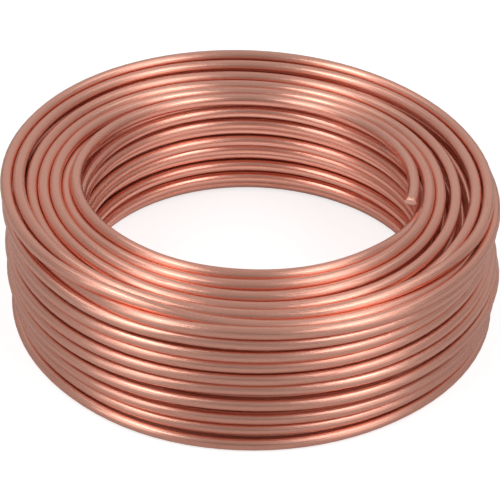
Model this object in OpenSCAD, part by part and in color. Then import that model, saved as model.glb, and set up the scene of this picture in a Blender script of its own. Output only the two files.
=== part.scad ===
// Coil of bare copper wire lying on one end, with its bore upright.
// The winding is one turned solid. Its turns show as rounded ridges up the
// outside, down the bore and across both ends, and the cut end of the wire
// stands clear of the innermost turn inside the bore.
// Millimetres, Z up, origin on the axis at the level the coil rests on.

/* [Wire] */
// Diameter of the bare wire
wire_d = 1.024; // [0.8:0.002:1.2]

/* [Winding] */
// Diameter over the outermost turns at the lower end
coil_d = 42.6; // [38:0.1:46]
// Clear diameter between the innermost turns at the upper end
bore_d = 28.9; // [26:0.1:31]
// Turns that show one above another up the outside
outer_rows = 12; // [8:1:14]
// Turns that show one above another down the bore
bore_rows = 11; // [8:1:13]
// Turns that show side by side across each end
end_rings = 6; // [4:1:6]
// Rise from one outside turn to the next
row_pitch = 1.06; // [0.9:0.005:1.3]

/* [Looseness] */
// How much smaller the outside is in radius at the upper end
outer_taper = 0.3; // [0:0.05:1]
// How much wider the bore is in radius at the lower end
bore_flare = 0.45; // [0:0.05:1]
// How far every second outside turn has sunk in
sunk_turn = 0.14; // [0:0.02:0.3]
// Outside turns below the open gap
gap_row = 3; // [2:1:6]
// Width of the open gap
gap_h = 0.4; // [0:0.05:0.8]
// How far the innermost turn of the upper end lies below the outermost
crown_drop = 0.7; // [0:0.05:1.5]

/* [Loose end] */
// Direction of the cut end, from +X towards +Y
end_angle = -10; // [-60:1:60]
// Sweep of the loose end before it joins the winding
end_sweep = 75; // [30:1:150]
// How far the loose end stands in from the turn behind it
end_step = 0.88; // [0.6:0.02:0.95]
// How far the loose end lies below the top of the bore
end_drop = 0.25; // [0:0.05:0.6]

/* [Hidden] */
$fn = 96;
wire_r = wire_d / 2;
// How far the winding fills the valleys outward from the turns' centres
valley_fill = wire_r * 0.4;
copper = [0.74, 0.47, 0.37];

// Centres of the corner turns in the section, as [radius, height]
bottom_z = wire_r;
outer_top_z = wire_r + (outer_rows - 1) * row_pitch + gap_h;
bore_top_z = outer_top_z - crown_drop;
outer_bottom = [coil_d / 2 - wire_r, bottom_z];
outer_top = [coil_d / 2 - wire_r - outer_taper, outer_top_z];
bore_bottom = [bore_d / 2 + wire_r + bore_flare, bottom_z];
bore_top = [bore_d / 2 + wire_r, bore_top_z];

// Point at share t of the way from a to b
function between(a, b, t) = a + (b - a) * t;

// Centre of outside turn i, counted from the bottom
function outer_turn(i) =
    let (z = bottom_z + i * row_pitch + (i < gap_row ? 0 : gap_h))
    let (share = (z - bottom_z) / (outer_top_z - bottom_z))
    let (last = outer_rows - 1)
    let (sunk = (i > 0 && i < last && i % 2 == 1) ? sunk_turn : 0)
    [between(outer_bottom, outer_top, share)[0] - sunk, z];

// One turn of the wire in the section
module turn_at(centre) {
    translate(centre)
        circle(d = wire_d);
}

// The turns of one straight side, without its two corners
module turns_between(a, b, count) {
    for (i = [1 : count - 2])
        turn_at(between(a, b, i / (count - 1)));
}

// Everything inside the outline of the turns' centres
module winding_core() {
    polygon([
        bore_bottom - [valley_fill, valley_fill],
        outer_bottom + [valley_fill - sunk_turn, -valley_fill],
        outer_top + [valley_fill - sunk_turn, valley_fill],
        bore_top + [-valley_fill, valley_fill]
    ]);
}

// Half of the coil cut through its axis
module winding_section() {
    winding_core();
    for (i = [0 : outer_rows - 1])
        turn_at(outer_turn(i));
    turn_at(bore_bottom);
    turn_at(bore_top);
    turns_between(bore_bottom, bore_top, bore_rows);
    turns_between(bore_bottom, outer_bottom, end_rings);
    turns_between(bore_top, outer_top, end_rings);
}

// The cut end, standing clear of the innermost turn
module loose_end() {
    rotate([0, 0, end_angle])
        rotate_extrude(angle = end_sweep)
            translate([bore_top[0] - end_step, bore_top[1] - end_drop])
                circle(d = wire_d);
}

module wire_coil() {
    color(copper) {
        rotate_extrude()
            winding_section();
        loose_end();
    }
}

wire_coil();
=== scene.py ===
"""Coil of bare copper wire, lying on one end with its bore upright.

One length of round wire is the whole object. Its route is worked out turn by turn: the free
end and the turns down the bore, the hidden turns of the filling, the turns across the top, and
the turns down the outside. Neighbouring turns are then eased apart until they hardly overlap.
Sizes of the wire and its turns are in millimetres and become metres when the mesh is made.
Directions are in degrees round the coil, from +X towards +Y, so 270 is the front.
"""

import math

import bpy
import numpy as np
from mathutils import Matrix, Vector


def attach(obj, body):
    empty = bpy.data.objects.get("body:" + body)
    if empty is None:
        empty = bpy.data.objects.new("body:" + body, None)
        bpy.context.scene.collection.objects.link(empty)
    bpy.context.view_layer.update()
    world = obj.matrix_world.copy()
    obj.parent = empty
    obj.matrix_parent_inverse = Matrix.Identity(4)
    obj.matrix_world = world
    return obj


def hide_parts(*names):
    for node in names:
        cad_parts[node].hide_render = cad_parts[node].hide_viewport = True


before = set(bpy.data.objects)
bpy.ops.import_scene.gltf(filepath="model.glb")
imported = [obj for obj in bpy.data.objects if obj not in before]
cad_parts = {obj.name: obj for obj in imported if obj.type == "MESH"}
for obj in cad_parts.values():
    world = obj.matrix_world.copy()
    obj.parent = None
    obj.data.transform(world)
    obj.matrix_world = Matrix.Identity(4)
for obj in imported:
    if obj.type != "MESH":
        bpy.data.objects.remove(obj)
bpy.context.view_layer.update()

MM = 0.001
TURN = 360.0
WHITE = (1, 1, 1, 1)

# ---------------------------------------------------------------- camera

CAMERA_HEIGHT_ANGLE = 35.18
CAMERA_DISTANCE = 189.6
CAMERA_ROLL = 2.43
CAMERA_SHIFT = (0.0077, -0.035)
CAMERA_CLIP = (0.01, 10)    # metres
AIM_HEIGHT = 6.65
LENS = 157.6
SENSOR = 36.0


def make_camera():
    """The camera at the photograph's viewing angle."""
    rise = math.radians(CAMERA_HEIGHT_ANGLE)
    roll = math.radians(CAMERA_ROLL)
    back = Vector((0, -math.cos(rise), math.sin(rise)))
    level_up = Vector((0, math.sin(rise), math.cos(rise)))
    right = Vector((math.cos(roll), 0, 0)) + math.sin(roll) * level_up
    up = math.cos(roll) * level_up - Vector((math.sin(roll), 0, 0))
    data = bpy.data.cameras.new("camera")
    data.sensor_width = SENSOR
    data.lens = LENS
    data.shift_x, data.shift_y = CAMERA_SHIFT
    data.clip_start, data.clip_end = CAMERA_CLIP
    camera = bpy.data.objects.new("camera", data)
    axes = Matrix((right, up, back)).transposed()
    place = Vector((0, 0, AIM_HEIGHT)) + back * CAMERA_DISTANCE
    camera.matrix_world = Matrix.Translation(place * MM) @ axes.to_4x4()
    bpy.context.collection.objects.link(camera)
    bpy.context.scene.camera = camera


make_camera()

# ---------------------------------------------------------------- sizes of the wire

WIRE_D = 1.024
WIRE_R = WIRE_D / 2
SIDES = 14                  # faces round the wire
STATIONS = 96               # rings in each turn

CUT_LENGTH = 1.10           # how far back from each end the slant of the cut fades out
CUT_SLANT = 0.85            # how far the top of an end stands out, in radii
CUT_FLAT = 0.30             # how far back from each end the top is pressed down
CUT_EDGE = 0.55             # height of the pressed edge over the wire's centre, in radii
CUT_STEPS = (0.10, 0.22, 0.34)   # extra rings near an end, as shares of the way to the next

# ---------------------------------------------------------------- the turns that show

# A knot is (direction, radius, height). Directions keep growing along the wire, by 360 a turn.

FREE_END_TURN = [
    (-12.5, 13.97, 12.42), (18, 14.28, 12.17), (45, 14.40, 11.60), (90, 14.80, 11.00),
    (135, 14.70, 11.35), (180, 14.70, 11.95), (225, 14.50, 12.50), (270, 14.45, 12.70),
    (315, 14.70, 12.50), (345, 15.00, 11.65), (375, 15.10, 10.45),
]

# Turns down the bore at the back, from the top: height, and how far the turn has sunk in
BORE_TURNS = [
    (9.65, 0.0), (8.25, 0.0), (7.35, 0.45), (6.25, 0.0), (5.20, 0.0),
    (4.25, 0.65), (3.25, 0.0), (1.80, 0.0), (0.80, 0.45),
]
BORE_KNOTS_AT = (45, 90, 135, 180, 225)
BORE_STEP_AT = 335          # where a turn is halfway down to the next one

# The turns across the top, from the rise of the last hidden turn to the outside
TOP_TURNS = [
    (120, 16.00, 10.05), (150, 15.65, 10.90), (180, 15.50, 11.40), (225, 15.35, 12.10),
    (270, 15.50, 12.45), (315, 15.55, 12.40), (360, 15.35, 12.25), (405, 15.65, 11.40),
    (450, 15.90, 11.00), (495, 16.20, 11.30), (540, 16.40, 11.75), (585, 16.30, 12.05),
    (630, 16.50, 12.05), (675, 16.55, 12.00), (720, 16.30, 11.95), (765, 16.70, 11.40),
    (810, 16.95, 11.10), (855, 17.15, 11.40), (900, 17.40, 11.75), (945, 17.45, 11.80),
    (990, 17.50, 11.75), (1035, 17.80, 11.75), (1080, 17.65, 11.90), (1125, 17.90, 11.55),
    (1170, 18.20, 11.30), (1215, 18.40, 11.55), (1260, 18.40, 11.75), (1290, 18.30, 11.55),
    (1320, 18.15, 11.15), (1350, 18.10, 10.75), (1380, 18.50, 11.00), (1410, 18.95, 11.55),
    (1440, 19.45, 12.05), (1485, 19.50, 11.95), (1530, 19.60, 11.70), (1575, 19.70, 11.85),
    (1620, 19.55, 12.15), (1665, 19.05, 12.10), (1710, 18.50, 11.75), (1746, 18.95, 11.75),
    (1762, 19.55, 11.75), (1775, 20.20, 11.85), (1800, 20.60, 12.00), (1845, 20.70, 12.00),
    (1890, 20.90, 12.05), (1935, 20.90, 12.05), (1980, 20.60, 12.05), (2025, 20.10, 11.80),
    (2048, 19.70, 11.85), (2070, 19.55, 11.55), (2107, 20.00, 11.45), (2123, 20.15, 11.30),
    (2140, 20.15, 11.10), (2160, 20.00, 11.00), (2205, 20.10, 10.80), (2250, 20.20, 10.80),
]
TOP_SEEN_FROM = 150         # where the rising wire comes into sight
TOP_SWEEP = 2160            # six turns, up to the first turn down the outside

# Turns down the outside, from the top. Heights at the left, front left, front, front right and
# right, then radii at the left, front left, twice at the front, twice at the front right, right.
OUTSIDE_TURNS = [
    ((11.00, 11.40, 11.70, 11.50, 11.20), (19.80, 19.90, 20.25, 20.60, 20.90, 20.98, 20.95)),
    ((10.70, 10.60, 10.50, 10.45, 10.20), (20.15, 20.50, 20.50, 20.45, 20.80, 20.95, 20.85)),
    ((9.10, 8.90, 9.25, 9.25, 9.40), (20.05, 20.50, 20.50, 20.45, 20.75, 20.75, 20.45)),
    ((8.15, 8.05, 8.20, 8.30, 8.65), (20.00, 20.40, 20.60, 20.45, 20.75, 20.75, 20.55)),
    ((6.65, 6.65, 7.05, 7.05, 7.30), (20.20, 20.55, 20.60, 20.55, 20.95, 21.12, 20.85)),
    ((5.50, 5.30, 5.95, 5.95, 6.15), (20.00, 20.40, 20.55, 20.35, 21.15, 21.30, 21.28)),
    ((4.15, 4.10, 4.55, 4.55, 4.70), (20.10, 20.50, 20.70, 20.65, 21.25, 21.40, 21.65)),
    ((2.75, 2.70, 2.90, 2.90, 2.85), (19.70, 20.20, 20.50, 20.35, 20.85, 21.05, 21.40)),
    ((1.65, 1.60, 1.70, 1.70, 1.70), (19.55, 20.05, 20.40, 20.30, 20.55, 20.85, 21.25)),
    ((0.53, 0.52, 0.52, 0.52, 0.52), (19.70, 20.38, 20.85, 20.85, 20.80, 21.00, 21.30)),
]
OUTSIDE_HEIGHT_AT = (180, 225, 270, 307, 353)
OUTSIDE_RADIUS_AT = (180, 225, 248, 270, 307, 324, 353)
OUTSIDE_STEP_AT = 450       # the back, where a turn is halfway down to the next one
LAST_END_AT = 60            # where the wire ends, a little past the right of the last turn
LAST_END_RADIUS = 20.7

# ---------------------------------------------------------------- the hidden turns

LAYER_TURNS = (3, 4, 4, 4, 4, 4, 4, 4, 4, 5)   # turns in each flat layer, from the bottom up
LAYER_RISE = 1.03
LAYER_KNOTS_AT = (40, 100, 160, 220, 280, 340)
NESTED = 0.90               # how far a hidden turn lies behind the turns that show

# The bore leans and opens downwards: its radius at the top, how much wider it is at the bottom,
# and how far it is shifted towards +X and +Y at the top, and further at the bottom
BORE_RADIUS = 14.6
BORE_FLARE = 0.95
BORE_SHIFT_X = (0.2, 0.95)
BORE_SHIFT_Y = (0.15, 0.57)
BORE_TOP = 11.4
BORE_FALL = 10.9
BORE_SHARE_LIMIT = 1.05

# The outside turns bulge a little to the right
OUTSIDE_RADIUS = 20.65
OUTSIDE_BULGE = 0.5


def bore_radius(direction, height):
    """Radius of the turns down the bore, in a direction and at a height."""
    down = min(max((BORE_TOP - height) / BORE_FALL, 0), BORE_SHARE_LIMIT)
    shift_x = BORE_SHIFT_X[0] + BORE_SHIFT_X[1] * down
    shift_y = BORE_SHIFT_Y[0] + BORE_SHIFT_Y[1] * down
    a = math.radians(direction)
    return BORE_RADIUS + BORE_FLARE * down + shift_x * math.cos(a) + shift_y * math.sin(a)


def outside_radius(direction):
    """Mean radius of the turns down the outside."""
    return OUTSIDE_RADIUS + OUTSIDE_BULGE * math.cos(math.radians(direction))


def bore_knots():
    """Knots from the free end to the bottom of the bore."""
    knots = list(FREE_END_TURN)
    for k, (height, sunk) in enumerate(BORE_TURNS):
        start = TURN * (k + 1)
        for direction in BORE_KNOTS_AT:
            knots.append((start + direction, bore_radius(direction, height) + sunk, height))
        if k + 1 < len(BORE_TURNS):
            next_height, next_sunk = BORE_TURNS[k + 1]
            middle = (height + next_height) / 2
            radius = bore_radius(BORE_STEP_AT, middle) + (sunk + next_sunk) / 2
            knots.append((start + BORE_STEP_AT, radius, middle))
    return knots


def hidden_knots(start):
    """Flat layers from the bottom up, wound outwards and inwards in turn.

    Each turn keeps its place over LAYER_KNOTS_AT, then steps over to the next one.
    """
    knots = []
    for layer, turns in enumerate(LAYER_TURNS):
        height = WIRE_R + LAYER_RISE * layer
        for turn in range(turns):
            share = turn / (turns - 1)
            if layer % 2 == 1:
                share = 1 - share
            for direction in LAYER_KNOTS_AT:
                inner = bore_radius(direction, height) + NESTED
                outer = outside_radius(direction) - NESTED
                knots.append((start + direction, inner + (outer - inner) * share, height))
            start += TURN
    return knots


def outside_knots(start):
    """Knots of the outside turns. The first turn's left side is at start + 180."""
    knots = []
    for i, (heights, radii) in enumerate(OUTSIDE_TURNS):
        for direction, radius in zip(OUTSIDE_RADIUS_AT, radii):
            height = float(np.interp(direction, OUTSIDE_HEIGHT_AT, heights))
            knots.append((start + direction, radius, height))
        if i + 1 < len(OUTSIDE_TURNS):
            next_heights, next_radii = OUTSIDE_TURNS[i + 1]
            radius = (radii[-1] + next_radii[0]) / 2
            height = (heights[-1] + next_heights[0]) / 2
            knots.append((start + OUTSIDE_STEP_AT, radius, height))
        start += TURN
    knots.append((start + LAST_END_AT, LAST_END_RADIUS, WIRE_R))
    return knots


# ---------------------------------------------------------------- route of the wire

SMOOTH_PASSES = 10
SMOOTH_SHARE = 0.25

EASE_ROUNDS = 900
TOUCH = WIRE_D * 1.003      # distance between the centres of turns that touch
HIDDEN_PULL = 0.003         # pull of a hidden ring back to its place in each round, as a share
SEEN_PULL = 0.06            # further pull of a ring that shows
SEEN_HOLD = 0.9             # how much less than a hidden ring a ring that shows gives way
BEND_SHARE = 0.3            # how far a ring's shift is shared with its neighbours on the wire
PUSH_SHARE = 0.8            # share of an overlap that one round takes away
TINY = 1e-9                 # keeps divisions clear of zero


def wire_route():
    """Number, radius and height of every ring along the wire, and 1 where the ring shows."""
    bore = bore_knots()
    bore_end = bore[-1][0]
    bore_laps = math.ceil(bore_end / TURN)
    lap = (bore_laps + sum(LAYER_TURNS)) * TURN
    hidden = hidden_knots(bore_laps * TURN)
    top = [(a + lap, r, z) for a, r, z in TOP_TURNS]
    outside = outside_knots(lap + TOP_SWEEP)
    knots = np.array(bore + hidden + top + outside)
    step = TURN / STATIONS
    first = math.ceil(knots[0, 0] / step)
    last = math.floor(knots[-1, 0] / step)
    rings = np.arange(first, last + 1)
    radius = np.interp(rings * step, knots[:, 0], knots[:, 1])
    height = np.interp(rings * step, knots[:, 0], knots[:, 2])
    seen = ((rings * step < bore_end) | (rings * step > lap + TOP_SEEN_FROM)).astype(float)
    for _ in range(SMOOTH_PASSES):
        for values in (radius, height):
            values[1:-1] += SMOOTH_SHARE * (values[:-2] + values[2:] - 2 * values[1:-1])
    return rings, radius, height, seen


def ease_apart(rings, radius, height, seen, rounds):
    """Moves the rings in each half-plane through the axis apart where they overlap.

    Each ring is pulled back towards its own place, and rings that show hardly leave it.
    """
    first_turn = rings[0] // STATIONS
    turns = rings[-1] // STATIONS - first_turn + 1
    row = rings // STATIONS - first_turn
    station = rings % STATIONS
    target_r, target_z = radius.copy(), height.copy()
    pull = HIDDEN_PULL + SEEN_PULL * seen
    grid_r = np.full((STATIONS, turns), np.nan)
    grid_z = np.full((STATIONS, turns), np.nan)
    give = np.zeros((STATIONS, turns))
    give[station, row] = 1 - SEEN_HOLD * seen
    share = give[:, :, None] / (give[:, :, None] + give[:, None, :] + TINY)
    for _ in range(rounds):
        for values, target in ((radius, target_r), (height, target_z)):
            shift = (1 - pull) * (values - target)
            shift[1:-1] += BEND_SHARE * (shift[:-2] + shift[2:] - 2 * shift[1:-1])
            values[:] = target + shift
        grid_r[station, row] = radius
        grid_z[station, row] = height
        dr = grid_r[:, :, None] - grid_r[:, None, :]
        dz = grid_z[:, :, None] - grid_z[:, None, :]
        gap = np.sqrt(dr * dr + dz * dz)
        gap[:, np.arange(turns), np.arange(turns)] = np.nan
        push = np.where(gap < TOUCH, (TOUCH - gap) / (gap + TINY), 0.0)
        push *= share
        radius += PUSH_SHARE * np.nansum(push * dr, axis=2)[station, row]
        height += PUSH_SHARE * np.nansum(push * dz, axis=2)[station, row]
        np.maximum(height, WIRE_R, out=height)


def ring_centres():
    """The centre of every ring along the wire."""
    rings, radius, height, seen = wire_route()
    ease_apart(rings, radius, height, seen, EASE_ROUNDS)
    a = np.radians(rings * TURN / STATIONS)
    return np.stack([radius * np.cos(a), radius * np.sin(a), height], axis=1)


# ---------------------------------------------------------------- mesh of the wire

def unit(v):
    """Each row of v at length 1."""
    return v / np.linalg.norm(v, axis=-1, keepdims=True)


def with_cut_steps(centres):
    """The route with closely spaced rings near both ends, where the cutters left a slant."""
    first, second = centres[0], centres[1]
    before, last = centres[-2], centres[-1]
    start = [first + (second - first) * share for share in CUT_STEPS]
    end = [last + (before - last) * share for share in reversed(CUT_STEPS)]
    return np.concatenate([[first], start, centres[1:-1], end, [last]])


def ring_points(centres, travelled):
    """Points of the rings round the route, pressed and slanted near its ends."""
    along = unit(np.gradient(centres, axis=0))
    outward = centres * (1, 1, 0)
    outward = unit(outward - np.sum(outward * along, axis=1, keepdims=True) * along)
    downward = np.cross(along, outward)
    from_end = np.minimum(travelled, travelled[-1] - travelled)
    end_sign = np.where(travelled < travelled[-1] / 2, 1, -1)
    top = CUT_EDGE + (1 - CUT_EDGE) * np.minimum(from_end / CUT_FLAT, 1)
    slant = CUT_SLANT * np.maximum(1 - from_end / CUT_LENGTH, 0) * end_sign
    angle = np.arange(SIDES) * math.tau / SIDES
    across = np.cos(angle)[None, :, None]
    drop = np.maximum(np.sin(angle)[None, :], -top[:, None])[:, :, None]
    lean = slant[:, None, None] * drop
    ring = across * outward[:, None, :] + drop * downward[:, None, :] + lean * along[:, None, :]
    return (centres[:, None, :] + WIRE_R * ring).reshape(-1, 3)


def wire_uv(travelled, loops):
    """Texture coordinates: once round the wire, and along it in the same measure."""
    u = np.arange(SIDES + 1) / SIDES
    v = travelled / (math.pi * WIRE_D)
    corner = np.zeros((len(travelled) - 1, SIDES, 4, 2))
    corner[:, :, 0, 0] = corner[:, :, 3, 0] = u[:-1][None, :]
    corner[:, :, 1, 0] = corner[:, :, 2, 0] = u[1:][None, :]
    corner[:, :, 0, 1] = corner[:, :, 1, 1] = v[:-1][:, None]
    corner[:, :, 2, 1] = corner[:, :, 3, 1] = v[1:][:, None]
    uv = np.zeros((loops, 2))
    uv[:corner.size // 2] = corner.reshape(-1, 2)
    return uv


def wire_mesh(name, route):
    """A tube round the route, with cut faces at its ends, and texture coordinates along it."""
    centres = with_cut_steps(route)
    count = len(centres)
    steps = np.linalg.norm(np.diff(centres, axis=0), axis=1)
    travelled = np.concatenate([[0], np.cumsum(steps)])
    points = ring_points(centres, travelled) * MM
    faces = []
    for i in range(count - 1):
        a, b = i * SIDES, (i + 1) * SIDES
        for j in range(SIDES):
            k = (j + 1) % SIDES
            faces.append((a + j, a + k, b + k, b + j))
    side_faces = len(faces)
    faces.append(tuple(reversed(range(SIDES))))
    faces.append(tuple(range((count - 1) * SIDES, count * SIDES)))
    mesh = bpy.data.meshes.new(name)
    mesh.from_pydata(points.tolist(), [], faces)
    layer = mesh.uv_layers.new(name="along_wire")
    layer.data.foreach_set("uv", wire_uv(travelled, len(mesh.loops)).ravel())
    cut_faces = SIDES * len(CUT_STEPS)
    smooth = [True] * (side_faces - 2 * cut_faces)
    flat_start, flat_end = [False] * cut_faces, [False] * (cut_faces + 2)
    mesh.polygons.foreach_set("use_smooth", flat_start + smooth + flat_end)
    mesh.update()
    return mesh


# ---------------------------------------------------------------- materials

class Nodes:
    """Short calls for building the nodes of a material or the world."""

    def __init__(self, material):
        material.use_nodes = True
        self.tree = material.node_tree
        self.tree.nodes.clear()

    def add(self, kind, inputs=None, **settings):
        """A new node, with each of its inputs set or linked."""
        node = self.tree.nodes.new(kind)
        for key, value in settings.items():
            setattr(node, key, value)
        for key, value in (inputs or {}).items():
            if isinstance(value, bpy.types.NodeSocket):
                self.tree.links.new(value, node.inputs[key])
            else:
                node.inputs[key].default_value = value
        return node

    def output(self, kind, shader):
        """The output node, showing the shader."""
        out = self.add(kind)
        self.tree.links.new(shader.outputs[0], out.inputs[0])

    def math(self, operation, a, b=0.0, c=0.0):
        return self.add("ShaderNodeMath", {0: a, 1: b, 2: c}, operation=operation).outputs[0]

    def vector_math(self, operation, inputs):
        node = self.add("ShaderNodeVectorMath", inputs, operation=operation)
        return node.outputs["Value"]

    def remap(self, value, low, high, to_low=0.0, to_high=1.0):
        """The value carried from low..high to to_low..to_high, and held at the ends."""
        inputs = {"Value": value, 1: low, 2: high, 3: to_low, 4: to_high}
        return self.add("ShaderNodeMapRange", inputs).outputs[0]

    def background_share(self, to_camera, to_gloss):
        """A strength for camera rays, and one for gloss and see-through rays."""
        path = self.add("ShaderNodeLightPath").outputs
        gloss = self.math("MAXIMUM", path["Is Glossy Ray"], path["Is Transmission Ray"])
        straight = self.math("MULTIPLY", path["Is Camera Ray"], to_camera)
        return self.math("MAXIMUM", straight, self.math("MULTIPLY", gloss, to_gloss))


# Noise on the wire: scale round the wire, scale along it, and detail
DRAWN_LINES = (9.0, 0.12, 3.0)
SLOW_DRIFT = (0.6, 0.06, 2.0)
MOTTLE = (1.6, 0.8, 4.0)
SCUFFS = (3.0, 0.7, 1.0)

COPPER_DEEP = (0.95, 0.455, 0.345, 1)
COPPER_PALE = (0.97, 0.505, 0.390, 1)
MIDDLE_OF_NOISE = (0.35, 0.65)
SCUFFED_FROM = (0.70, 0.74)
DRAWN_ROUGHNESS = (0.13, 0.38)
SCUFF_ROUGHNESS = 0.55
STREAK = 0.85               # how far highlights are drawn out across the lines
LINE_BUMP = 0.5
LINE_DEPTH = 0.00003        # metres


def copper_material():
    """Drawn bare copper: fine lines along the wire, a slow change of tone, and sparse scuffs."""
    material = bpy.data.materials.new("copper_wire")
    n = Nodes(material)
    uv = n.add("ShaderNodeUVMap", uv_map="along_wire").outputs["UV"]
    split = n.add("ShaderNodeSeparateXYZ", {"Vector": uv})
    turn = n.math("MULTIPLY", split.outputs["X"], math.tau)
    across_x = n.math("COSINE", turn)
    across_y = n.math("SINE", turn)
    lengthways = split.outputs["Y"]

    def noise(scale_across, scale_along, detail):
        vector = n.add("ShaderNodeCombineXYZ", {
            "X": n.math("MULTIPLY", across_x, scale_across),
            "Y": n.math("MULTIPLY", across_y, scale_across),
            "Z": n.math("MULTIPLY", lengthways, scale_along),
        }).outputs[0]
        inputs = {"Vector": vector, "Scale": 1.0, "Detail": detail}
        return n.add("ShaderNodeTexNoise", inputs).outputs["Fac"]

    lines = noise(*DRAWN_LINES)
    drift = n.math("MULTIPLY", noise(*SLOW_DRIFT), 0.5)
    mottle = n.math("MULTIPLY", noise(*MOTTLE), 0.5)
    tone = n.remap(n.math("ADD", drift, mottle), *MIDDLE_OF_NOISE)
    # Inputs 6 and 7 of this node are its colours, and 2 and 3 its plain numbers
    colour = n.add("ShaderNodeMix", {0: tone, 6: COPPER_DEEP, 7: COPPER_PALE}, data_type="RGBA")
    scuffs = n.remap(noise(*SCUFFS), *SCUFFED_FROM)
    drawn = n.remap(lines, *MIDDLE_OF_NOISE, *DRAWN_ROUGHNESS)
    rough = n.add("ShaderNodeMix", {0: scuffs, 2: drawn, 3: SCUFF_ROUGHNESS})
    relief = {"Strength": LINE_BUMP, "Distance": LINE_DEPTH, "Height": lines}
    tangent = n.add("ShaderNodeTangent", direction_type="UV_MAP", uv_map="along_wire")
    n.output("ShaderNodeOutputMaterial", n.add("ShaderNodeBsdfPrincipled", {
        "Base Color": colour.outputs[2],
        "Metallic": 1.0,
        "Roughness": rough.outputs[0],
        "Anisotropic": STREAK,
        "Tangent": tangent.outputs[0],
        "Normal": n.add("ShaderNodeBump", relief).outputs[0],
    }))
    return material


# ---------------------------------------------------------------- the wire

def make_wire():
    """The whole coil, as one tube of wire that stands for the CAD's turned solid, which is
    hidden.
    """
    centres = ring_centres()
    mesh = wire_mesh("coiled_wire", centres)
    mesh.materials.append(copper_material())
    wire = bpy.data.objects.new("coiled_wire", mesh)
    bpy.context.collection.objects.link(wire)
    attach(wire, "root")
    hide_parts("wire_coil")


make_wire()

# ---------------------------------------------------------------- floor

# From here on, sizes are in metres
FLOOR_RADIUS = 1.6
WALL_HEIGHT = 0.25
WALL_SIDES = 64

PAPER_GREY = (0.50, 0.50, 0.50, 1)
LIFT_TO_CAMERA = 0.75
GLOSS_LIFT_WITH_BORE_GLOW = (0.50, 0.10)     # inside the bore, where it is a painted glow seen only by the metal, and round the coil
LIFT_EDGE = (0.011, 0.016)       # from the axis, where the one fades into the other


def paper_material():
    """White paper: lit by the lamps, and lifted to white for the rays that show the background.

    The metal sees less of the lift than the camera does, and most of it inside the bore: there
    the floor glows for reflections only, a painted light that brightens the bore wall.
    """
    material = bpy.data.materials.new("paper")
    n = Nodes(material)
    paper = n.add("ShaderNodeBsdfDiffuse", {"Color": PAPER_GREY})
    position = n.add("ShaderNodeNewGeometry").outputs["Position"]
    from_axis = n.vector_math("LENGTH", {0: position})
    # Painted glow: inside the bore the floor shines brighter for gloss rays only, which lights
    # the bore wall's reflections
    lift = n.background_share(LIFT_TO_CAMERA, n.remap(from_axis, *LIFT_EDGE, *GLOSS_LIFT_WITH_BORE_GLOW))
    glow = n.add("ShaderNodeEmission", {"Color": WHITE, "Strength": lift})
    both = n.add("ShaderNodeAddShader", {0: paper.outputs[0], 1: glow.outputs[0]})
    n.output("ShaderNodeOutputMaterial", both)
    return material


def make_floor():
    """A round floor with a low wall at its far rim, as a backdrop for level views."""
    around = [i * math.tau / WALL_SIDES for i in range(WALL_SIDES)]
    rim = [(FLOOR_RADIUS * math.cos(a), FLOOR_RADIUS * math.sin(a)) for a in around]
    points = [(x, y, 0) for x, y in rim] + [(x, y, WALL_HEIGHT) for x, y in rim]
    faces = [tuple(range(WALL_SIDES))]
    for i in range(WALL_SIDES):
        k = (i + 1) % WALL_SIDES
        faces.append((i, WALL_SIDES + i, WALL_SIDES + k, k))
    mesh = bpy.data.meshes.new("floor")
    mesh.from_pydata(points, [], faces)
    mesh.materials.append(paper_material())
    floor = bpy.data.objects.new("floor", mesh)
    bpy.context.collection.objects.link(floor)


make_floor()

# ---------------------------------------------------------------- light

# The world's light: two places on an axis of the direction looked in, and its strength there
BEHIND = (0.2, 0.9, 0.34, 0.55)
AHEAD = (-0.95, -0.6, -0.10, 0.0)
ABOVE = (0.6, 0.95, 0.0, 0.08)

# Two soft glows in the world, at the front left and front right
GLOW_TOWARD = ((-0.70, -0.51, 0.5), (0.70, -0.51, 0.5))
GLOW = (0.78, 1.0, 0.0, 0.20)

# Lamps at the right, with their twins at the left: name, place, width, depth and watts
SOFT_BOXES = (
    ("low_box", (0.36, -0.28, 0.17), 0.26, 0.40, 0.16),
    ("bright_box", (0.25, -0.18, 0.39), 0.19, 0.13, 0.24),
    ("high_box", (0.22, 0.06, 0.45), 0.38, 0.18, 0.17),
)


def make_world():
    """Soft light from all round, stronger behind the coil and at the two glows."""
    world = bpy.data.worlds.new("world")
    bpy.context.scene.world = world
    n = Nodes(world)
    toward = n.add("ShaderNodeTexCoord").outputs["Generated"]
    split = n.add("ShaderNodeSeparateXYZ", {"Vector": toward}).outputs
    level = n.math("ADD", n.remap(split["Y"], *BEHIND), n.remap(split["Y"], *AHEAD))
    level = n.math("ADD", level, n.remap(split["Z"], *ABOVE))
    for glow_toward in GLOW_TOWARD:
        facing = n.vector_math("DOT_PRODUCT", {0: toward, 1: glow_toward})
        level = n.math("ADD", level, n.remap(facing, *GLOW))
    light = n.add("ShaderNodeBackground", {"Color": WHITE, "Strength": level})
    n.output("ShaderNodeOutputWorld", light)


def soft_box(name, place, width, depth, power):
    """A rectangular lamp that faces the coil from the given place."""
    data = bpy.data.lights.new(name, "AREA")
    data.shape = "RECTANGLE"
    data.size = width
    data.size_y = depth
    data.energy = power
    lamp = bpy.data.objects.new(name, data)
    lamp.location = place
    lamp.rotation_euler = Vector(place).to_track_quat("Z", "Y").to_euler()
    bpy.context.collection.objects.link(lamp)


make_world()
for side, name in ((-1, "left"), (1, "right")):
    for box, (x, y, z), width, depth, power in SOFT_BOXES:
        soft_box(name + "_" + box, (side * x, y, z), width, depth, power)

view = bpy.context.scene.view_settings
view.view_transform = "Standard"
